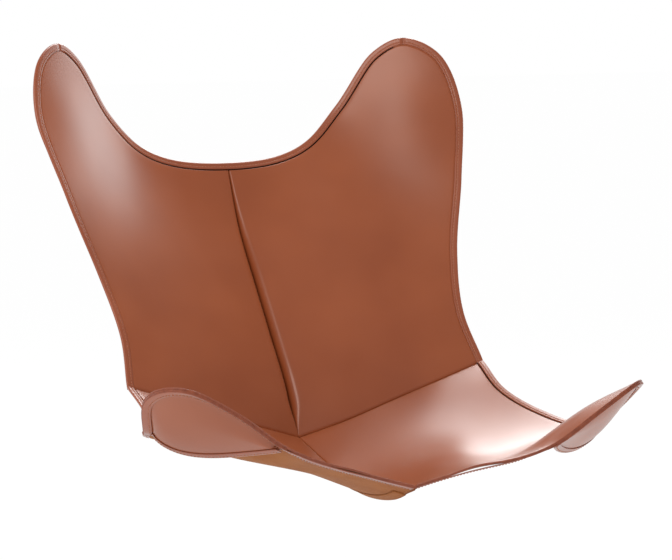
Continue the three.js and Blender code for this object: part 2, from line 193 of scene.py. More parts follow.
# Fineness of the meshes
CURVE_STEPS = 80
FINEST_STEP = 0.6
STEP_GROWTH = 1.3
WIDEST_STEP = 6.0
BAND = 26
OUTSIDE_STRIP = [22.5, 20]
BESIDE_STRIP = [3.6, 2.8, 2.2, 1.6, 1.0, 0.5, 0, -0.5]
UNDER_STRIP = [0.73, 0.47, 0.2, 0.08, 0]
POCKET_BAND = [0, 4, 8] + [POCKET_GROOVE + step for step in (-2, -1, 0, 1, 2)]
POCKET_ROWS = 22
NOSE_TURNS = 9
HEM_TURNS = 7
INNER_TURNS = 5

# Rows of a panel's grid along which the tapes run, and those on which their width is read
CROSS_TAPE_ROWS = slice(8, -3)
CROSS_TAPE_READ = 20
CENTRE_TAPE_ROWS = slice(4, -2)
CENTRE_TAPE_READ = 30


def smooth(t):
    """A soft step from 0 to 1."""
    c = np.clip(t, 0, 1)
    return c * c * (3 - 2 * c)


def unit(v):
    return v / np.maximum(np.linalg.norm(v, axis=-1, keepdims=True), 1e-9)


def twisted(points, side):
    """Stations moved by the twist and the lean of the front ears, and by the left back ear's shift."""
    moved = np.array(points, float)
    lift = smooth(moved[:, 0] / TWIST_HALF_WIDTH) * smooth((TWIST_FROM_Y - moved[:, 1]) / TWIST_LENGTH)
    moved[:, 2] -= side * EAR_TWIST * lift
    moved[:, 0] -= side * EAR_LEAN * lift
    if side < 0:
        rise = smooth(moved[:, 0] / SHIFT_HALF_WIDTH) * smooth((moved[:, 2] - SHIFT_FROM_Z) / SHIFT_HEIGHT)
        moved[:, 0] -= LEFT_EAR_SHIFT * rise * (moved[:, 1] > 0)
    return moved


def mirrored(points):
    return np.array(points, float) * (-1, 1, 1)


def travelled(points):
    """Distance along a line of points, at each of them."""
    gaps = np.linalg.norm(np.diff(points, axis=0), axis=1)
    return np.concatenate([[0], np.cumsum(gaps)])


def read_at(distance, lengths, values):
    """Values along a line, read at distances along it."""
    return np.stack([np.interp(distance, lengths, values[:, c]) for c in range(3)], -1)


class Run:
    """A smooth curve through stations, read by arc length between two of them."""

    def __init__(self, stations, first=0, last=None):
        p = np.array(stations, float)
        last = len(p) - 1 if last is None else last
        ends = np.vstack([2 * p[0] - p[1], p, 2 * p[-1] - p[-2]])
        t = np.linspace(0, 1, CURVE_STEPS, endpoint=False)[:, None]
        pieces = []
        for k in range(first, last):
            a, b, c, d = ends[k : k + 4]
            ab, bc, cd = (np.linalg.norm(q - r) ** 0.5 for q, r in ((b, a), (c, b), (d, c)))
            leave = ((b - a) / ab - (c - a) / (ab + bc) + (c - b) / bc) * bc
            reach = ((c - b) / bc - (d - b) / (bc + cd) + (d - c) / cd) * bc
            pieces.append(
                (2 * t**3 - 3 * t**2 + 1) * b
                + (t**3 - 2 * t**2 + t) * leave
                + (3 * t**2 - 2 * t**3) * c
                + (t**3 - t**2) * reach
            )
        self.samples = np.vstack(pieces + [p[last : last + 1]])
        self.lengths = travelled(self.samples)
        self.total = self.lengths[-1]

    def at(self, distance):
        return read_at(distance, self.lengths, self.samples)


class Sheet:
    """A bent sheet through its stations, as a height over the plane of two axes."""

    def __init__(self, stations, plan, height, up):
        p = np.unique(np.array(stations, float), axis=0)
        self.plan, self.height, self.up = plan, height, up
        self.key = p[:, plan]
        n = len(p)
        system = np.zeros((n + 3, n + 3))
        system[:n, :n] = self.kernel(((self.key[:, None] - self.key[None]) ** 2).sum(2))
        system[:n, n] = system[n, :n] = 1
        system[:n, n + 1 :] = self.key
        system[n + 1 :, :n] = self.key.T
        self.weights = np.linalg.solve(system, np.concatenate([p[:, height], np.zeros(3)]))

    @staticmethod
    def kernel(r2):
        return 0.5 * r2 * np.log(np.maximum(r2, 1e-12))

    def flat(self, points):
        return np.asarray(points)[..., self.plan]

    def slope(self, q):
        n = len(self.key)
        apart = q[..., None, :] - self.key
        pull = self.weights[:n] * (np.log(np.maximum((apart**2).sum(-1), 1e-12)) + 1)
        return (apart * pull[..., None]).sum(-2) + self.weights[n + 1 :]

    def point(self, q):
        n = len(self.key)
        r2 = ((q[..., None, :] - self.key) ** 2).sum(-1)
        out = np.empty(q.shape[:-1] + (3,))
        out[..., self.plan] = q
        bent = self.kernel(r2) @ self.weights[:n]
        out[..., self.height] = bent + self.weights[n] + q @ self.weights[n + 1 :]
        return out

    def normal(self, q):
        out = np.empty(q.shape[:-1] + (3,))
        out[..., self.plan] = -self.up * self.slope(q)
        out[..., self.height] = self.up
        return unit(out)

    def inward(self, q, along, inside):
        """Plan steps that are one millimetre long on the sheet and square to the rim."""
        g = self.slope(q)
        square = np.stack([-along[..., 1], along[..., 0]], -1)
        square *= np.where((square * (inside - q)).sum(-1, keepdims=True) < 0, -1, 1)
        share = (g * square).sum(-1, keepdims=True) / (1 + (g**2).sum(-1, keepdims=True))
        step = square - g * share
        return step / np.sqrt(np.maximum((step * square).sum(-1, keepdims=True), 1e-9))


def graded(length):
    """Distances from 0 to a length, close together at the start."""
    marks = [0.0]
    step = FINEST_STEP
    while marks[-1] < length:
        marks.append(marks[-1] + step)
        step = min(step * STEP_GROWTH, WIDEST_STEP)
    return np.array(marks) * length / marks[-1]


def closest(points, curve):
    """Distance of each point to a curve, and how far along the curve it is."""
    gaps = np.linalg.norm(points[:, None] - curve.samples[None], axis=2)
    nearest = gaps.argmin(1)
    return gaps[np.arange(len(points)), nearest], curve.lengths[nearest] / curve.total


def rolled(distance, radius):
    """Depth of a round roll of leather at a distance from its seam."""
    radius = np.maximum(radius, 1e-3)
    share = np.clip(1 - distance / radius, 0, 1)
    return radius * (1 - np.sqrt(1 - share**2))


def dent(distance):
    """Share of a groove's depth at a distance from its middle."""
    return np.exp(-((distance / GROOVE_WIDTH) ** 2))


def lip_wave(share):
    """Height of a lip that starts at the rim, crests at share 1 and dies away."""
    return np.sin(np.clip(share, 0, 1) * math.pi / 2) * (1 - smooth((share - 1) / LIP_FALL))


class Panel:
    """One leather panel: its rim stations, the rows beside the rim and its whole face."""

    def __init__(self, sheet, rim_in, rim_out, seam, cross, strip, inset):
        self.sheet, self.seam, self.cross, self.strip = sheet, seam, cross, strip
        close = [strip + d for d in BESIDE_STRIP]
        self.rows = np.array(OUTSIDE_STRIP + close + [strip * share for share in UNDER_STRIP])
        u = graded(cross.total) / cross.total
        v = graded(seam.total) / seam.total
        self.tip = len(u) - 1
        self.rim = np.vstack([rim_in.at(u * rim_in.total), rim_out.at(rim_out.total * (1 - v[::-1]))[1:]])
        self.last = len(self.rim) - 1
        self.travel = travelled(self.rim)
        flat = sheet.flat(self.rim)
        flat[0, 0] = 0
        inside = sheet.flat((cross.at(cross.total / 2) + self.rim[self.tip]) / 2)
        steps = sheet.inward(flat, np.gradient(flat, axis=0), inside)
        steps[0] = (0, np.sign(steps[0, 1]) * np.hypot(*steps[0]))
        along_cross = sheet.flat(cross.at(cross.total - BAND)) - flat[-1]
        to_waist = self.travel[-1] - self.travel
        blend = smooth(1 - to_waist / TURN_TO_CROSS)[:, None]
        self.steps = (1 - blend) * steps + blend * along_cross / BAND
        short = inset * smooth(self.rim[:, 0] / INSET_FROM_CENTRE) * smooth(to_waist / INSET_FROM_WAIST)
        self.rim_flat = flat + short[:, None] * self.steps
        self.past_tip = self.travel - self.travel[self.tip]
        self.lip = np.zeros(self.last + 1)
        self.crest = 1.0
        self.frame_rim()
        self.fill(u, v)

    def frame_rim(self):
        """The rim's own directions: along it, out of it and up from the face."""
        self.rim_face = self.sheet.point(self.rim_flat)
        self.rim_up = self.sheet.normal(self.rim_flat)
        inner = self.sheet.point(self.rim_flat + BAND * self.steps)
        along = np.gradient(self.rim_face, axis=0)
        out = unit(np.cross(along, self.rim_up))
        away = ((self.rim_face - inner) * out).sum(-1, keepdims=True)
        self.rim_out = np.where(away < 0, -out, out)

    def fill(self, u, v):
        """Grid of the face inside the rim rows, and the rim rows round it."""
        sheet, tip, last = self.sheet, self.tip, self.last
        rows, cols = len(u), len(v)
        inset = self.rim_flat + BAND * self.steps
        low = sheet.flat(self.cross.at(u * (self.cross.total - BAND)))
        left = sheet.flat(self.seam.at(v * (self.seam.total - BAND)))
        inset[0] = left[-1]
        inset[last] = low[-1]
        high = inset[: tip + 1]
        right = inset[tip:][::-1]
        a, b = u[:, None, None], v[None, :, None]
        grid = (1 - a) * left[None] + a * right[None] + (1 - b) * low[:, None] + b * high[:, None]
        grid -= (1 - a) * (1 - b) * low[0] + a * (1 - b) * low[-1]
        grid -= (1 - a) * b * high[0] + a * b * high[-1]
        ring = self.rim_flat[None] + self.rows[:, None, None] * self.steps[None]
        plan = np.vstack([grid.reshape(-1, 2), ring.reshape(-1, 2)])
        inner_ids = numbered(rows, cols)
        border = np.concatenate([inner_ids[:, -1], inner_ids[-1, ::-1][1:]])
        ring_ids = inner_ids.size + numbered(*ring.shape[:2])
        bands = np.vstack([border[None], ring_ids])
        self.quads = np.vstack([quads_of(inner_ids), quads_of(bands.T)])
        self.grid_ids = inner_ids
        self.grid_quads = (rows - 1) * (cols - 1)
        self.rim_gap = np.full(len(plan), np.inf)
        self.rim_gap[ring_ids] = self.rows[:, None]
        self.station = np.zeros(len(plan), int)
        self.station[ring_ids] = np.arange(last + 1)
        self.face = sheet.point(plan)
        self.up = sheet.normal(plan)
        self.close_seams()

    def close_seams(self):
        """Draw the face onto the shared seam curves, so that neighbours meet."""
        for curve in (self.cross, self.seam):
            near, share = closest(self.face, curve)
            on_curve = curve.at(share * curve.total)
            miss = on_curve - self.sheet.point(self.sheet.flat(on_curve))
            self.face += miss * (1 - smooth(near / DRAWN_TO_SEAM))[:, None]

    def raise_lip(self, height, crest):
        """Lift the face beside the rim, by a height for each rim station."""
        self.lip, self.crest = height, crest
        lifted = np.where(height > 0)[0]
        gaps = np.linalg.norm(self.face[:, None] - self.rim_face[None, lifted], axis=2)
        near = gaps.min(1)
        weights = np.exp((near[:, None] - gaps) / (LIP_BLEND * near + FINEST_STEP)[:, None])
        weights *= np.gradient(self.travel)[lifted]
        mean = (weights * height[lifted]).sum(1) / weights.sum(1)
        self.face += self.up * (mean * lip_wave(near / crest))[:, None]
        tilt = (height * math.pi / 2 / crest)[:, None]
        up, out = self.rim_up, self.rim_out
        self.rim_up, self.rim_out = unit(up + tilt * out), unit(out - tilt * up)

    def at_rim(self, k, gap, height):
        """Points a distance in from the rim and a height over the face, for stations k."""
        q = self.rim_flat[k] + gap * self.steps[k]
        rise = (self.lip[k] * lip_wave(gap / self.crest))[:, None] + height
        return self.sheet.point(q) + rise * self.sheet.normal(q)


def numbered(rows, cols):
    """Vertex numbers of a grid, row by row."""
    return np.arange(rows * cols).reshape(rows, cols)


def quads_of(ids):
    """Quads of a grid of vertex numbers."""
    return np.stack([ids[:-1, :-1], ids[1:, :-1], ids[1:, 1:], ids[:-1, 1:]], -1).reshape(-1, 4)


def tube_of(ids):
    """Quads round a tube of vertex numbers, and its two ends."""
    quads = quads_of(np.concatenate([ids, ids[:, :1]], 1))
    return quads, [ids[0].tolist(), ids[-1][::-1].tolist()]


def border_loop(quads):
    """The vertices along the one border of a patch, in order."""
    edges = np.concatenate([quads[:, [0, 1]], quads[:, [1, 2]], quads[:, [2, 3]], quads[:, [3, 0]]])
    known = {tuple(e) for e in edges.tolist()}
    following = {a: b for a, b in known if (b, a) not in known}
    start = next(iter(following))
    loop = [start]
    while following[loop[-1]] != start:
        loop.append(following[loop[-1]])
    return np.array(loop)


def add_object(name, data):
    """An object in the scene for a mesh, a camera or a light."""
    made = bpy.data.objects.new(name, data)
    bpy.context.scene.collection.objects.link(made)
    return made


def make_piece(name, points, faces, slots, materials, caps=0):
    """A smooth mesh that rides with the sling, each face with its own slot, the last ones flat."""
    mesh = bpy.data.meshes.new(name)
    mesh.from_pydata((np.asarray(points) * MM).tolist(), [], faces)
    for material in materials:
        mesh.materials.append(material)
    mesh.polygons.foreach_set("material_index", np.asarray(slots, np.int32))
    mesh.polygons.foreach_set("use_smooth", np.arange(len(faces)) < len(faces) - caps)
    mesh.update()
    piece = add_object(name, mesh)
    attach(piece, BODY)
    return piece


# Round of a cut edge: share of the thickness from the face down, and share of the swelling
EDGE_ROUND = [(0.07, 0.45), (0.22, 0.85), (0.5, 1.0), (0.78, 0.85), (0.93, 0.45)]
EDGE_SWELL = 0.7
SWELL_LOST_IN_BINDING = 0.6

# Material slots of a layer of leather, in the order of LAYERS: face, flesh, cut edge and painted groove
# shade
FACE_SLOT, FLESH_SLOT, EDGE_SLOT, PAINTED_SHADE_SLOT = range(4)


def slab(name, face, flesh, quads, swell, side, painted, shade_slot):
    """A closed layer of leather: face side with painted shade in its grooves, flesh side and a rounded cut
    edge.
    """
    count = len(face)
    loop = border_loop(quads)
    down = flesh[loop] - face[loop]
    along = np.roll(face[loop], -1, 0) - np.roll(face[loop], 1, 0)
    out = unit(np.cross(down, along))
    corner = face[quads[:, 2]] - face[quads[:, 0]]
    other = face[quads[:, 3]] - face[quads[:, 1]]
    if (np.cross(corner, other) * (face - flesh)[quads[:, 0]]).sum() < 0:
        out = -out
    points = [face, flesh]
    rings = [loop]
    start = 2 * count
    for depth, share in EDGE_ROUND:
        points.append(face[loop] + down * depth + out * (share * swell[loop])[:, None])
        rings.append(start + np.arange(len(loop)))
        start += len(loop)
    rings.append(loop + count)
    walls = [np.stack([np.roll(a, -1), a, b, np.roll(b, -1)], -1) for a, b in zip(rings[:-1], rings[1:])]
    faces = np.vstack([quads, quads[:, ::-1] + count] + walls)
    sides = [FACE_SLOT, FLESH_SLOT, FACE_SLOT, EDGE_SLOT]
    slots = np.repeat(sides, [len(quads), len(quads), len(loop), len(loop) * (len(walls) - 1)])
    # Groove quads take the slot of the painted shade
    slots[: len(quads)][painted] = shade_slot
    points = np.vstack(points) * (side, 1, 1)
    return make_piece(name, points, oriented(points, faces), slots, LAYERS)


def oriented(points, faces):
    """Faces as lists, turned round if the closed mesh would be inside out."""
    a, b, c, d = (points[faces[:, k]] for k in range(4))
    volume = (a * np.cross(b, c)).sum() + (a * np.cross(c, d)).sum()
    return (faces if volume > 0 else faces[:, ::-1]).tolist()


def sweep(name, sections, side, materials, edge=()):
    """A closed strip: one closed profile carried along its stations, with capped ends."""
    stations, corners = sections.shape[:2]
    quads, caps = tube_of(numbered(stations, corners))
    points = sections.reshape(-1, 3) * (side, 1, 1)
    faces = oriented(points, quads)
    faces += caps if faces[0] == quads[0].tolist() else [cap[::-1] for cap in caps]
    # Corners with the second material: a cut edge on the facing and hems, painted groove shade on the
    # bindings
    burnished_or_shaded = np.isin(np.arange(corners), edge).astype(int)
    slots = np.concatenate([np.tile(burnished_or_shaded, stations - 1), [0, 0]])
    return make_piece(name, points, faces, slots, materials, len(caps))


# Rings of one stitch: reach along the thread, thickness share and height share
STITCH_RINGS = [
    (-1, 0.35, -0.5), (-0.8, 0.8, 0), (-0.3, 1, 0.35),
    (0.3, 1, 0.35), (0.8, 0.8, 0), (1, 0.35, -0.5),
]
STITCH_SIDES = 8


def stitches(name, lines, side):
    """The thread that shows along lines of points, one short loop for each stitch."""
    loops = []
    for points, ups in lines:
        lengths = travelled(points)
        count = max(2, int(lengths[-1] / STITCH_PITCH))
        middle = (np.arange(count) + 0.5) * lengths[-1] / count
        at = read_at(middle, lengths, points)
        along = unit(read_at(middle + 1, lengths, points) - read_at(middle - 1, lengths, points))
        up = read_at(middle, lengths, ups)
        up = unit(up - along * (up * along).sum(-1, keepdims=True))
        across = np.cross(up, along)
        rings = []
        for reach, width, height in STITCH_RINGS:
            centre = at + along * reach * STITCH_LENGTH / 2 + up * height * STITCH_RADIUS
            for turn in np.arange(STITCH_SIDES) * 2 * math.pi / STITCH_SIDES:
                spoke = math.cos(turn) * across + math.sin(turn) * up
                rings.append(centre + STITCH_RADIUS * width * spoke)
        loops.append(np.stack(rings, 1))
    loops = np.concatenate(loops)
    ids = numbered(len(STITCH_RINGS), STITCH_SIDES)
    quads, caps = tube_of(ids)
    one = quads.tolist() + caps
    faces = [[v + k * ids.size for v in f] for k in range(len(loops)) for f in one]
    if side < 0:
        faces = [f[::-1] for f in faces]
    points = loops.reshape(-1, 3) * (side, 1, 1)
    piece = make_piece(name, points, faces, np.zeros(len(faces), int), [THREAD])
    return piece


# Materials
def linear(rgb):
    """A colour written as 0 to 255 screen values, made linear."""
    c = np.array(rgb) / 255
    return tuple(np.where(c <= 0.04045, c / 12.92, ((c + 0.055) / 1.055) ** 2.4)) + (1.0,)


def set_inputs(node, values):
    for name, value in values.items():
        node.inputs[name].default_value = value


def add_node(tree, kind, values, links):
    """A shader node, with inputs that are set to values and inputs that are joined to sockets."""
    node = tree.nodes.new(kind)
    set_inputs(node, values)
    for name, socket in links.items():
        tree.links.new(socket, node.inputs[name])
    return node


def new_material(name, roughness):
    material = bpy.data.materials.new(name)
    material.use_nodes = True
    shader = material.node_tree.nodes["Principled BSDF"]
    shader.inputs["Roughness"].default_value = roughness
    return material, material.node_tree, shader


def noise(tree, coordinates, scale, detail):
    values = {"Scale": scale, "Detail": detail}
    return add_node(tree, "ShaderNodeTexNoise", values, {"Vector": coordinates}).outputs["Fac"]


# Where a noise turns into the dark and into the light tone of a material
DARK_AT = 0.3
LIGHT_AT = 0.7


def two_tones(tree, fac, dark, light):
    ramp = add_node(tree, "ShaderNodeValToRGB", {}, {"Fac": fac})
    for stop, position, tone in zip(ramp.color_ramp.elements, (DARK_AT, LIGHT_AT), (dark, light)):
        stop.position = position
        stop.color = linear(tone)
    return ramp.outputs["Color"]


def bump(tree, shader, height, strength, distance):
    values = {"Strength": strength, "Distance": distance}
    node = add_node(tree, "ShaderNodeBump", values, {"Height": height})
    tree.links.new(node.outputs["Normal"], shader.inputs["Normal"])


def spread(tree, fac, low, high):
    values = {"To Min": low, "To Max": high}
    return add_node(tree, "ShaderNodeMapRange", values, {"Value": fac}).outputs["Result"]


def place(tree):
    return tree.nodes.new("ShaderNodeTexCoord").outputs["Object"]


def smooth_leather(name, dark, light):
    """Finished side: even dye with slow clouds, fine pores and a soft wax shine."""
    material, tree, shader = new_material(name, roughness=0.4)
    where = place(tree)
    clouds = noise(tree, where, scale=7, detail=2)
    tree.links.new(two_tones(tree, clouds, dark, light), shader.inputs["Base Color"])
    wear = spread(tree, noise(tree, where, scale=30, detail=3), low=0.31, high=0.37)
    tree.links.new(wear, shader.inputs["Roughness"])
    pores = add_node(tree, "ShaderNodeTexVoronoi", {"Scale": 750}, {"Vector": where})
    bump(tree, shader, pores.outputs["Distance"], strength=0.02, distance=0.0003)
    set_inputs(shader, {"Coat Weight": 0.4, "Coat Roughness": 0.25})
    return material


def grained(name, dark, light, roughness, clouds, grain, strength, distance):
    """Two clouded tones over a fine grain, each noise given by its scale and detail."""
    material, tree, shader = new_material(name, roughness)
    where = place(tree)
    tone = two_tones(tree, noise(tree, where, *clouds), dark, light)
    tree.links.new(tone, shader.inputs["Base Color"])
    bump(tree, shader, noise(tree, where, *grain), strength, distance)
    return material, shader


def flesh_leather(name, dark, light):
    """Raw side: matt, fibrous and golden."""
    look = dict(roughness=0.85, clouds=(18, 8), grain=(900, 6), strength=0.5, distance=0.0006)
    material, shader = grained(name, dark, light, **look)
    set_inputs(shader, {"Specular IOR Level": 0.25, "Sheen Weight": 0.06})
    return material


def burnished_edge(name, dark, light):
    """Cut edge, dyed dark and rubbed smooth; the same look also carries the painted groove shade."""
    look = dict(roughness=0.5, clouds=(160, 5), grain=(700, 4), strength=0.3, distance=0.0004)
    return grained(name, dark, light, **look)[0]


def waxed_thread(name, dark, light):
    """Twisted thread with a dull shine."""
    look = dict(roughness=0.6, clouds=(400, 2), grain=(2500, 2), strength=0.4, distance=0.0003)
    return grained(name, dark, light, **look)[0]


FACE = smooth_leather("saddle_leather", (147, 74, 39), (157, 82, 45))
STRIP = smooth_leather("strip_leather", (144, 73, 44), (156, 83, 52))
FLESH = flesh_leather("flesh_side", (150, 89, 42), (164, 102, 51))
EDGE = burnished_edge("burnished_edge", (124, 60, 38), (146, 75, 48))
# Painted shade: near-black colour standing in for the shadow at the bottom of the grooves beside the
# bindings
GROOVE_SHADE = burnished_edge("painted_groove_shade", (30, 13, 8), (40, 17, 10))
THREAD = waxed_thread("waxed_thread", (160, 96, 66), (184, 118, 84))
LAYERS = [FACE, FLESH, EDGE, GROOVE_SHADE]


# Shape of the two kinds of panel: axes of its plan, axis of its height and which way its face looks
BACK_AXES = ([0, 2], 1, -1)
SEAT_AXES = ([0, 1], 2, 1)


def ridged(stations):
    """Stations of the back with those of the ear's ridge, set out from the plain sheet."""
    plain = Sheet(stations, *BACK_AXES)
    ridge = np.array(EAR_RIDGE, float)
    spots = ridge[:, :2]
    return np.vstack([stations, plain.point(spots) + plain.normal(spots) * ridge[:, 2:]])


def panels(side):
    """The back panel and the seat panel of one half, as if on the right."""
    rim = twisted(list(RIM.values()), side)
    other = twisted(list(RIM.values()), -side)
    around = np.vstack([mirrored(rim[1:2]), rim, mirrored(other[-2:-1])])
    backwards = around[::-1]
    place_of = {name: k + 1 for k, name in enumerate(RIM_NAMES)}
    from_end = {name: len(around) - 1 - k for name, k in place_of.items()}
    cross = Run(CROSS_SEAM)
    waist = RIM_NAMES.index("waist")
    fullness = twisted(SEAT_FULLNESS, side)
    back_sheet = Sheet(ridged(np.vstack([rim[: waist + 1], CENTRE_BACK, CROSS_SEAM])), *BACK_AXES)
    seat_sheet = Sheet(np.vstack([rim[waist:], CENTRE_SEAT, CROSS_SEAM, fullness]), *SEAT_AXES)
    back = Panel(
        back_sheet,
        Run(around, place_of["valley"], place_of["back_tip"]),
        Run(around, place_of["back_tip"], place_of["waist"]),
        Run(CENTRE_BACK),
        cross,
        BINDING_WIDTH,
        BACK_INSET,
    )
    seat = Panel(
        seat_sheet,
        Run(backwards, from_end["front_centre"], from_end["front_tip"]),
        Run(backwards, from_end["front_tip"], from_end["waist"]),
        Run(CENTRE_SEAT),
        cross,
        SEAT_BINDING_WIDTH,
        0,
    )
    return back, seat


def press_seams(panel, other, radius, depth):
    """Roll the face into its centre seam and, halfway between both panels, into the cross seam."""
    straight = unit(panel.up * (0, 1, 1))
    near, share = closest(panel.face, panel.cross)
    on_seam = panel.cross.at(share * panel.cross.total)
    ups = [p.sheet.normal(p.sheet.flat(on_seam)) for p in (panel, other)]
    panel.face -= straight * depth * rolled(panel.face[:, 0], radius)[:, None]
    between = ups[0] + ups[1]
    between[:, 0] *= smooth(on_seam[:, 0] / CROSSING_BLEND)
    panel.face -= unit(between) * rolled(near, CROSS_ROLL)[:, None]


def finish_panel(panel, bound, deep):
    """Thin the rim under its bindings and press a groove beside them, then give both sides."""
    past_strip = panel.rim_gap - panel.strip
    thin = SKIVED * bound[panel.station] * smooth((SKIVED_PAST_STRIP - past_strip) / SKIVED_SLOPE)
    groove = bound[panel.station] * deep[panel.station] * dent(past_strip - GROOVE_FROM_STRIP)
    flesh = panel.face - panel.up * (LEATHER - thin)[:, None]
    face = panel.face - panel.up * (thin + groove)[:, None]
    edge = EDGE_SWELL * (1 - SWELL_LOST_IN_BINDING * bound[panel.station])
    return face, flesh, np.where(panel.rim_gap == 0, edge, 0)


def painted_shade_quads(panel, deep):
    """Face quads along the bottom of the deep grooves, which get painted shade."""
    edges = np.concatenate([[BAND], panel.rows])
    middle = (edges[:-1] + edges[1:]) / 2 - panel.strip - GROOVE_FROM_STRIP
    marks = (deep[:-1, None] > DEEP_GROOVE / 2) & (np.abs(middle) < PAINTED_SHADE_HALF_WIDTH)[None]
    return np.concatenate([np.zeros(panel.grid_quads, bool), marks.reshape(-1)])


def area_of(points, quads):
    """Area of a layer in square metres."""
    a, b, c, d = (points[quads[:, k]] for k in range(4))
    halves = np.linalg.norm(np.cross(b - a, c - a), axis=1) + np.linalg.norm(np.cross(c - a, d - a), axis=1)
    return round(float(halves.sum() / 2) * MM * MM, 4)


# Strip profile from its inner edge outwards: distance from that edge, for a strip as wide as
# PROFILE_WIDTH, and height over the leather
PROFILE_WIDTH = 15
STRIP_PROFILE = [
    (0.15, -1.2), (-0.1, -0.3), (0.05, 0.5), (0.5, 1.0), (1.3, 1.3), (3.0, 1.42), (5.4, 1.38),
    (6.0, 1.15), (6.4, 1.05), (6.8, 1.15), (7.4, 1.38), (9.5, 1.42), (12.5, 1.38),
]


def fold(centre, radius, up, out, first, last, count):
    """Points round a fold, between two angles given in half turns."""
    turns = np.linspace(first, last, count) * math.pi
    return [centre + radius * (math.sin(turn) * up + math.cos(turn) * out) for turn in turns]


def binding(panel, k, top, bottom):
    """Sections of a strip folded over the rim: face leg, round nose and back leg."""
    above, below = top[k][:, None], bottom[k][:, None]
    legs = [(panel.strip * (1 - back / PROFILE_WIDTH), SNUG + height) for back, height in STRIP_PROFILE]
    rows = [panel.at_rim(k, gap, height - above) for gap, height in legs]
    up, out = panel.rim_up[k], panel.rim_out[k]
    half = (below - above) / 2
    centre = panel.rim_face[k] - up * (above + half)
    rows += fold(centre, half + SNUG + TRIM, up, out, 0.5, -0.5, NOSE_TURNS)
    rows += [panel.at_rim(k, gap, -below - height) for gap, height in legs[::-1]]
    rows += fold(centre, half + SNUG, up, out, -0.5, 0.5, INNER_TURNS)
    return np.stack(rows, 1)


# Facing profile: distance in from the rim and depth under the layers, the last three on the cut edge
FACING_PROFILE = [
    (FACING_WIDTH, 0.0), (FACING_WIDTH + 0.15, 0.6), (FACING_WIDTH - 0.2, 1.2), (FACING_WIDTH - 1, 1.6),
    (FACING_WIDTH / 2, 1.7), (1.2, 1.65), (0.2, 1.3), (-0.3, 0.7), (-0.2, 0.0),
]
FACING_EDGE = (5, 6, 7)


def facing(panel, k, bottom):
    """Sections of the flat strip under the front edge and over the pocket's sewn edge."""
    below = bottom[k][:, None] + SNUG
    return np.stack([panel.at_rim(k, gap, -below - depth) for gap, depth in FACING_PROFILE], 1)


# Hem profile from its inner edge to the fold: distance from the mouth and height over the pocket,
# then how far the fold turns each way, in half turns, and the corners on its cut edge
HEM_PROFILE = [
    (HEM_WIDTH, 0.0), (HEM_WIDTH + 0.2, 0.5), (HEM_WIDTH - 0.3, 1.1), (HEM_WIDTH - 1.2, 1.4),
    (HEM_WIDTH / 2, 1.5), (1.2, 1.4),
]
HEM_FOLD = 0.4
HEM_EDGE = (0, 1)


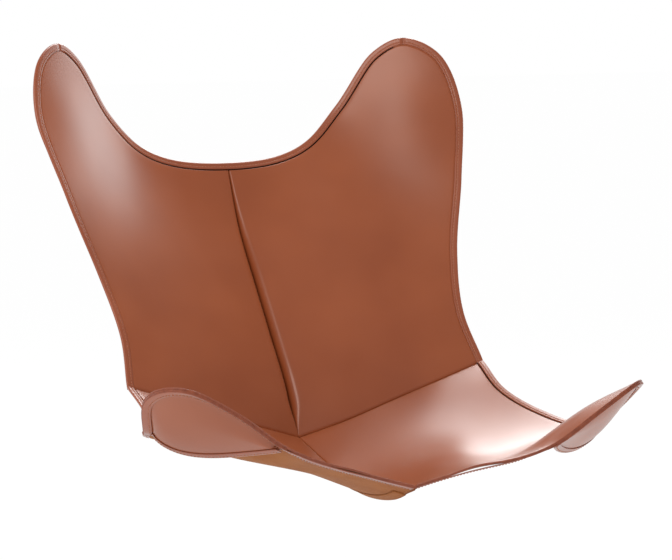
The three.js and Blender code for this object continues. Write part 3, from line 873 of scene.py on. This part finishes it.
class Pocket:
    """A leather layer behind an ear, sewn in at the rim and open along its mouth."""

    def __init__(self, panel, size, bound):
        inside = (panel.past_tip >= -size["inner"]) & (panel.past_tip <= size["outer"])
        self.stations = k = np.where(inside)[0]
        sheet, band = panel.sheet, POCKET_BAND[-1]
        start = panel.rim_flat[k] + band * panel.steps[k]
        tip = panel.rim_flat[panel.tip] + band * panel.steps[panel.tip]
        middle = (start[0] + start[-1]) / 2
        bend = middle + 2 * size["sag"] * unit(middle - tip) + size["skew"] * (start[-1] - start[0])
        gone = panel.travel[k] - panel.travel[k[0]]
        t = (gone / gone[-1])[:, None]
        mouth = (1 - t) ** 2 * start[0] + 2 * t * (1 - t) * bend + t * t * start[-1]
        short = np.maximum(0, POCKET_END - np.linalg.norm(mouth - start, axis=1))[:, None]
        finish = mouth + short * panel.steps[k]
        arch = np.sin(math.pi * t[:, 0] ** size["lean"])
        swell = size["opening"] * arch**MOUTH_ROUNDNESS
        past_nose = smooth((panel.past_tip[k] - NOSE_FROM) / NOSE_FROM)
        # Stations past the nose, where the groove is pressed and its bottom gets painted shade
        self.pressed = (past_nose > 0.5) & (size["groove"] > 0)
        plan, drop, thickness = [], [], []
        for gap in POCKET_BAND:
            thin = bound[k] * smooth((band - gap) / POCKET_SLOPE)
            plan.append(panel.rim_flat[k] + gap * panel.steps[k])
            drop.append(LEATHER - SKIVED * thin - panel.lip[k] * lip_wave(gap / panel.crest))
            pressed = size["groove"] * past_nose * dent(gap - POCKET_GROOVE)
            thickness.append(POCKET_LEATHER - (POCKET_LEATHER - SKIVED_POCKET) * thin - pressed)
        lift = panel.lip[k] * lip_wave(band / panel.crest)
        for share in np.linspace(0, 1, POCKET_ROWS)[1:]:
            plan.append(start + share * (finish - start))
            bulge = (1 - BULGE_ROUNDNESS) * share + BULGE_ROUNDNESS * math.sin(math.pi / 2 * share)
            drop.append(LEATHER + swell * bulge - lift * (1 - smooth(share / LIP_IN_POCKET)))
            thickness.append(np.full(len(k), POCKET_LEATHER))
        plan = np.stack(plan, 1)
        self.up = sheet.normal(plan)
        self.inner = sheet.point(plan) - (SNUG + np.stack(drop, 1))[..., None] * self.up
        self.outer = self.inner - np.stack(thickness, 1)[..., None] * self.up

    def make(self, name, side):
        """The pocket's leather as a piece, and the area of its outer side."""
        rows, cols = self.outer.shape[:2]
        quads = quads_of(numbered(rows, cols))
        outer, inner = self.outer.reshape(-1, 3), self.inner.reshape(-1, 3)
        swell = np.full(len(outer), POCKET_EDGE_SWELL)
        band = np.array(POCKET_BAND)
        # Groove rows past the nose take the cut edge's colour as painted shade
        groove = np.zeros(cols - 1, bool)
        groove[: len(band) - 1] = np.abs((band[:-1] + band[1:]) / 2 - POCKET_GROOVE) < PAINTED_SHADE_HALF_WIDTH
        painted = (self.pressed[:-1, None] & groove[None]).reshape(-1)
        return slab(name, outer, inner, quads, swell, side, painted, EDGE_SLOT), area_of(outer, quads)

    def hem(self):
        """Sections of the strip folded over the mouth, and the line of its stitches."""
        lip_out, lip_in, up = self.outer[:, -1], self.inner[:, -1], self.up[:, -1]
        run = unit(lip_out - self.outer[:, -2])
        middle, half = (lip_out + lip_in) / 2, POCKET_LEATHER / 2 + SNUG
        rows = [lip_out - run * back - up * (SNUG + height) for back, height in HEM_PROFILE]
        rows += fold(middle, half + TRIM, up, run, -HEM_FOLD, HEM_FOLD, HEM_TURNS)
        rows += [lip_in - run * back + up * (SNUG + height) for back, height in HEM_PROFILE[::-1]]
        rows += fold(middle, half, up, run, HEM_FOLD, -HEM_FOLD, INNER_TURNS)
        line = lip_out - run * HEM_STITCH_IN - up * (SNUG + HEM_STITCH_DEPTH)
        return np.stack(rows, 1), line, -up


def layers_under(panel, pocket, bound):
    """Depth of the top and of the bottom of the sewn layers at each rim station."""
    top = SKIVED * bound
    covered = np.zeros(panel.last + 1)
    covered[pocket.stations] = 1
    covered = np.pad(covered, EVENED_STATIONS // 2, "edge")
    covered = np.convolve(covered, np.ones(EVENED_STATIONS) / EVENED_STATIONS, "valid")
    pocket_leather = POCKET_LEATHER - (POCKET_LEATHER - SKIVED_POCKET) * bound
    return top, LEATHER - top + covered * (SNUG + pocket_leather)


def place_strip(node, sections, side, materials, edge=()):
    """A strip that stands for its node, with the second material on the corners of its edge: a cut edge's
    colour, or painted shade where a binding's inner edge meets its groove.
    """
    piece = sweep(f"{node}_strip", sections, side, materials, edge)
    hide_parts(node)
    return piece


def tape(node, here, there, side):
    """A strip behind a seam, along the flesh sides of the two panels that meet there."""
    sections = []
    for depth in (LEATHER + 2 * SNUG, LEATHER + 2 * SNUG + TAPE):
        legs = [points[:, 1:] - ups[:, 1:] * depth for points, ups in (here, there)]
        up = unit(here[1][:, 0] + there[1][:, 0])
        lean = (up * here[1][:, 0]).sum(-1, keepdims=True)
        middle = (here[0][:, 0] + there[0][:, 0]) / 2 - up * depth / lean
        sections.append(np.concatenate([legs[0][:, ::-1], middle[:, None], legs[1]], 1))
    sections = np.concatenate([sections[0], sections[1][:, ::-1]], 1)
    return place_strip(node, sections, side, [FLESH])


def beside(panel, ids, flip=1):
    """Points and normals of the face along rows of vertex numbers."""
    return panel.face[ids] * (flip, 1, 1), panel.up[ids] * (flip, 1, 1)


def tape_columns(distances):
    """How many columns of a grid half a tape covers."""
    return np.where(distances <= TAPE_WIDTH / 2)[0][-1] + 1


def shaped_panels(side, label):
    """The two panels of one half with the lip of the front ear and the rolls beside the seams."""
    back, seat = panels(side)
    front_lip = smooth((seat.past_tip + FRONT_LIP["inner"]) / LIP_FADE_INNER)
    front_lip *= smooth((FRONT_LIP["outer"] - seat.past_tip) / LIP_FADE_OUTER)
    seat.raise_lip(FRONT_LIP[label] * front_lip, FRONT_LIP["crest"])
    _, share = closest(back.face, back.seam)
    high = ROLL_AT_TOP + (1 - ROLL_AT_TOP) * smooth((1 - share) / ROLL_FADE_HIGH)
    fade = smooth(share / ROLL_FADE_LOW) * high * smooth((1 - share) / ROLL_END)
    press_seams(back, seat, BACK_ROLL * fade, BACK_SEAM_DEPTH)
    _, share = closest(seat.face, seat.seam)
    press_seams(seat, back, SEAT_ROLL * smooth(share / SEAT_FADE), SEAT_SEAM_DEPTH)
    return back, seat


def build_half(side, label):
    """All pieces of one half but the centre tapes, and its two panels."""
    back, seat = shaped_panels(side, label)
    out = FRONT_POCKET["outer"]
    all_round = np.ones(back.last + 1)
    past_ear = smooth((seat.past_tip - out + BOUND_BEFORE_END) / BOUND_FADE)
    before_tip = smooth((-SHALLOW_BEFORE_TIP - back.past_tip) / SHALLOW_FADE)
    back_groove = SHALLOW_GROOVE + (DEEP_GROOVE - SHALLOW_GROOVE) * before_tip
    seat_groove = np.full(seat.last + 1, DEEP_GROOVE)
    back_pocket = Pocket(back, BACK_POCKET, all_round)
    front_pocket = Pocket(seat, {**FRONT_POCKET, **FRONT_MOUTHS[label]}, past_ear)
    back_top, back_bottom = layers_under(back, back_pocket, all_round)
    seat_top, seat_bottom = layers_under(seat, front_pocket, past_ear)

    # Strips and thread first
    end = np.searchsorted(seat.past_tip, out)
    runs = {
        f"top_binding_{label}": (back, np.arange(0, back.tip + 1), back_top, back_bottom),
        f"back_side_binding_{label}": (back, np.arange(back.tip, back.last + 1), back_top, back_bottom),
        f"seat_side_binding_{label}": (seat, np.arange(end, seat.last + 1), seat_top, seat_bottom),
    }
    held = {back: [], seat: []}
    for node, (panel, k, top, bottom) in runs.items():
        sections = binding(panel, k, top, bottom)
        # The inner edge corner of the top and seat side bindings gets painted shade beside their groove
        edge = () if "back_side" in node else (0,)
        held[panel].append(place_strip(node, sections, side, [STRIP, GROOVE_SHADE], edge))
        inner = k[CLEAR_OF_ENDS]
        row = STITCH_SHARE * panel.strip
        lines = [
            (panel.at_rim(inner, row, STITCH_HEIGHT - top[inner][:, None]), panel.rim_up[inner]),
            (panel.at_rim(inner, row, -STITCH_HEIGHT - bottom[inner][:, None]), -panel.rim_up[inner]),
        ]
        held[panel].append(stitches(f"{node}_stitches", lines, side))
    front = np.arange(0, end + 1)
    node = f"front_edge_facing_{label}"
    sections = facing(seat, front, seat_bottom)
    held[seat].append(place_strip(node, sections, side, [STRIP, EDGE], FACING_EDGE))
    inner = front[CLEAR_OF_ENDS]
    below = seat_bottom[inner][:, None] + SNUG + FACING_STITCH_DEPTH
    lines = [(seat.at_rim(inner, FACING_WIDTH - FACING_STITCH_IN, -below), -seat.rim_up[inner])]
    held[seat].append(stitches(f"{node}_stitches", lines, side))

    for where, panel, bound, deep, flat in (
        ("back", back, all_round, back_groove, BACK_FLAT),
        ("seat", seat, past_ear, seat_groove, SEAT_FLAT),
    ):
        node = f"{where}_panel_{label}"
        face, flesh, swell = finish_panel(panel, bound, deep)
        # Quads at the bottom of the deep grooves get painted shade
        painted = painted_shade_quads(panel, bound * deep)
        piece = slab(f"{node}_leather", face, flesh, panel.quads, swell, side, painted, PAINTED_SHADE_SLOT)
        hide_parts(node)
        area = area_of(face, panel.quads)
    for where, pocket, flat in (
        ("back", back_pocket, BACK_POCKET_FLAT),
        ("front", front_pocket, FRONT_POCKET_FLAT),
    ):
        node = f"{where}_{label}_pocket"
        piece, area = pocket.make(f"{node}_leather", side)
        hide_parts(node)
        sections, line, ups = pocket.hem()
        hem = place_strip(f"{node}_hem", sections, side, [STRIP, EDGE], HEM_EDGE)
        thread = stitches(f"{node}_hem_stitches", [(line, ups)], side)

    # Tape behind the cross seam, between the side binding and the centre
    row = back.face[back.grid_ids[CROSS_TAPE_READ]]
    across = tape_columns(np.linalg.norm(row - row[:1], axis=1))
    here = beside(back, back.grid_ids[CROSS_TAPE_ROWS, :across])
    there = beside(seat, seat.grid_ids[CROSS_TAPE_ROWS, :across])
    tape(f"cross_seam_tape_{label}", here, there, side)
    return back, seat


def centre_tape(node, right, left):
    """Tape behind a centre seam, clear of the cross seam and of the rim."""
    count = tape_columns(right.face[right.grid_ids[:, CENTRE_TAPE_READ], 0])
    here = beside(right, right.grid_ids[:count, CENTRE_TAPE_ROWS].T)
    there = beside(left, left.grid_ids[:count, CENTRE_TAPE_ROWS].T, -1)
    tape(node, here, there, 1)


right_back, right_seat = build_half(1, "right")
left_back, left_seat = build_half(-1, "left")
centre_tape("centre_back_tape", right_back, left_back)
centre_tape("centre_seat_tape", right_seat, left_seat)

# Camera: picture width and focal length in pixels, directions in degrees, the rest in millimetres
IMAGE_WIDTH = 672
FOCAL_PIXELS = 2800
SENSOR = 36
AZIMUTH = -26.151
ELEVATION = 7.190
ROLL = 0.159
AIM = np.array((55.2, 43.4, 316.7))
DISTANCE = 4633

# Light, in metres: where the boxes look, how far off they and the flags are, the sky's level, then
# each box's degrees round and above, size, power and colour, and each flag's degrees round and above
LIGHT_AIM = (0, 0, 0.35)
BOX_DISTANCE = 2.6
FLAG_DISTANCE = 3.4
FLAG_STEPS = (48, 24)
SKY = 0.9
WHITE = (1, 1, 1)
BOXES = {
    "left_front_box": (-59, 35, (0.9, 1.4), 19, (1, 0.87, 0.8)),
    "right_box": (119, 16, (1.5, 1.6), 12, WHITE),
    "rear_box": (148, 45, (0.6, 2.0), 30, WHITE),
}
FLAGS = {
    "front_flag": ((-98, 103), (-20, 84)),
    "rear_flag": ((166, 262), (47, 88)),
}

# Floor, in metres: its height and half its side, and how white it is where it is seen directly
FLOOR_HEIGHT = -0.25
FLOOR_HALF = 15.0
FLOOR_TONE = 0.95
FLOOR_WHITE = 0.95


def direction(azimuth, elevation):
    """Unit vector towards a place so many degrees round the sling and above it."""
    a, e = np.radians(azimuth), np.radians(elevation)
    return np.stack([np.sin(a) * np.cos(e), -np.cos(a) * np.cos(e), np.sin(e)], -1)


def make_camera():
    back = Vector(direction(AZIMUTH, ELEVATION))
    data = bpy.data.cameras.new("camera")
    data.sensor_width = SENSOR
    data.lens = SENSOR * FOCAL_PIXELS / IMAGE_WIDTH
    camera = add_object("camera", data)
    stand = Matrix.Translation(Vector(AIM * MM) + back * DISTANCE * MM)
    turn = (-back).to_track_quat("-Z", "Y").to_matrix().to_4x4()
    camera.matrix_world = stand @ turn @ Matrix.Rotation(math.radians(ROLL), 4, "Z")
    bpy.context.scene.camera = camera


def area_light(name, azimuth, elevation, size, power, colour):
    """A soft box that looks at the sling from a direction."""
    back = Vector(direction(azimuth, elevation))
    data = bpy.data.lights.new(name, "AREA")
    data.shape = "RECTANGLE"
    data.size, data.size_y = size
    data.energy = power
    data.color = colour
    light = add_object(name, data)
    light.location = Vector(LIGHT_AIM) + back * BOX_DISTANCE
    light.rotation_mode = "QUATERNION"
    light.rotation_quaternion = (-back).to_track_quat("-Z", "Y")


def make_flag(name, azimuths, elevations):
    """A stretch of a dark dome that only mirror rays meet, as a studio's unlit side."""
    turns, rows = (np.linspace(*ends, count) for ends, count in zip((azimuths, elevations), FLAG_STEPS))
    e, a = np.meshgrid(rows, turns, indexing="ij")
    points = FLAG_DISTANCE * direction(a, e) + LIGHT_AIM
    mesh = bpy.data.meshes.new(name)
    quads = quads_of(numbered(*a.shape))
    mesh.from_pydata(points.reshape(-1, 3).tolist(), [], quads.tolist())
    material, _, shader = new_material("dark_cloth", roughness=1.0)
    set_inputs(shader, {"Base Color": (0.06, 0.06, 0.06, 1), "Specular IOR Level": 0})
    mesh.materials.append(material)
    flag = add_object(name, mesh)
    flag.visible_camera = False
    flag.visible_diffuse = False
    flag.visible_transmission = False
    flag.visible_shadow = False


def seen_directly(tree):
    """1 for camera, mirror and see-through rays, so that these meet the white background."""
    path = tree.nodes.new("ShaderNodeLightPath")
    total = path.outputs["Is Camera Ray"]
    for ray in ("Is Glossy Ray", "Is Transmission Ray"):
        most = add_node(tree, "ShaderNodeMath", {}, {0: total, 1: path.outputs[ray]})
        most.operation = "MAXIMUM"
        total = most.outputs["Value"]
    return total


def show_mixed(tree, share, plain, white, end):
    """Join a plain and a white shader by the white one's share, and show the result."""
    mix = add_node(tree, "ShaderNodeMixShader", {}, {"Fac": share, 1: plain, 2: white})
    tree.links.new(mix.outputs["Shader"], tree.nodes[end].inputs["Surface"])


def make_world():
    """An even sky that lights the sling, and is white where it is seen directly."""
    world = bpy.data.worlds.new("studio")
    world.use_nodes = True
    tree = world.node_tree
    lit = tree.nodes["Background"]
    set_inputs(lit, {"Color": (1, 1, 1, 1), "Strength": SKY})
    white = add_node(tree, "ShaderNodeBackground", {"Color": (1, 1, 1, 1), "Strength": 1}, {})
    show_mixed(tree, seen_directly(tree), lit.outputs[0], white.outputs[0], "World Output")
    bpy.context.scene.world = world


def make_floor():
    """A pale floor that keeps the shadow, and is white where it is seen directly."""
    mesh = bpy.data.meshes.new("floor")
    signs = ((-1, -1), (1, -1), (1, 1), (-1, 1))
    corners = [(x * FLOOR_HALF, y * FLOOR_HALF, FLOOR_HEIGHT) for x, y in signs]
    mesh.from_pydata(corners, [], [(0, 1, 2, 3)])
    floor = add_object("floor", mesh)
    material, tree, shader = new_material("pale_floor", roughness=0.9)
    shader.inputs["Base Color"].default_value = (FLOOR_TONE, FLOOR_TONE, FLOOR_TONE, 1)
    white = add_node(tree, "ShaderNodeEmission", {"Strength": 1}, {})
    share = add_node(tree, "ShaderNodeMath", {1: FLOOR_WHITE}, {0: seen_directly(tree)})
    share.operation = "MULTIPLY"
    show_mixed(tree, share.outputs[0], shader.outputs[0], white.outputs[0], "Material Output")
    mesh.materials.append(material)


make_camera()
make_world()
make_floor()
for name, (azimuths, elevations) in FLAGS.items():
    make_flag(name, azimuths, elevations)
for name, (azimuth, elevation, size, power, colour) in BOXES.items():
    area_light(name, azimuth, elevation, size, power, colour)
bpy.context.scene.view_settings.view_transform = "Standard"
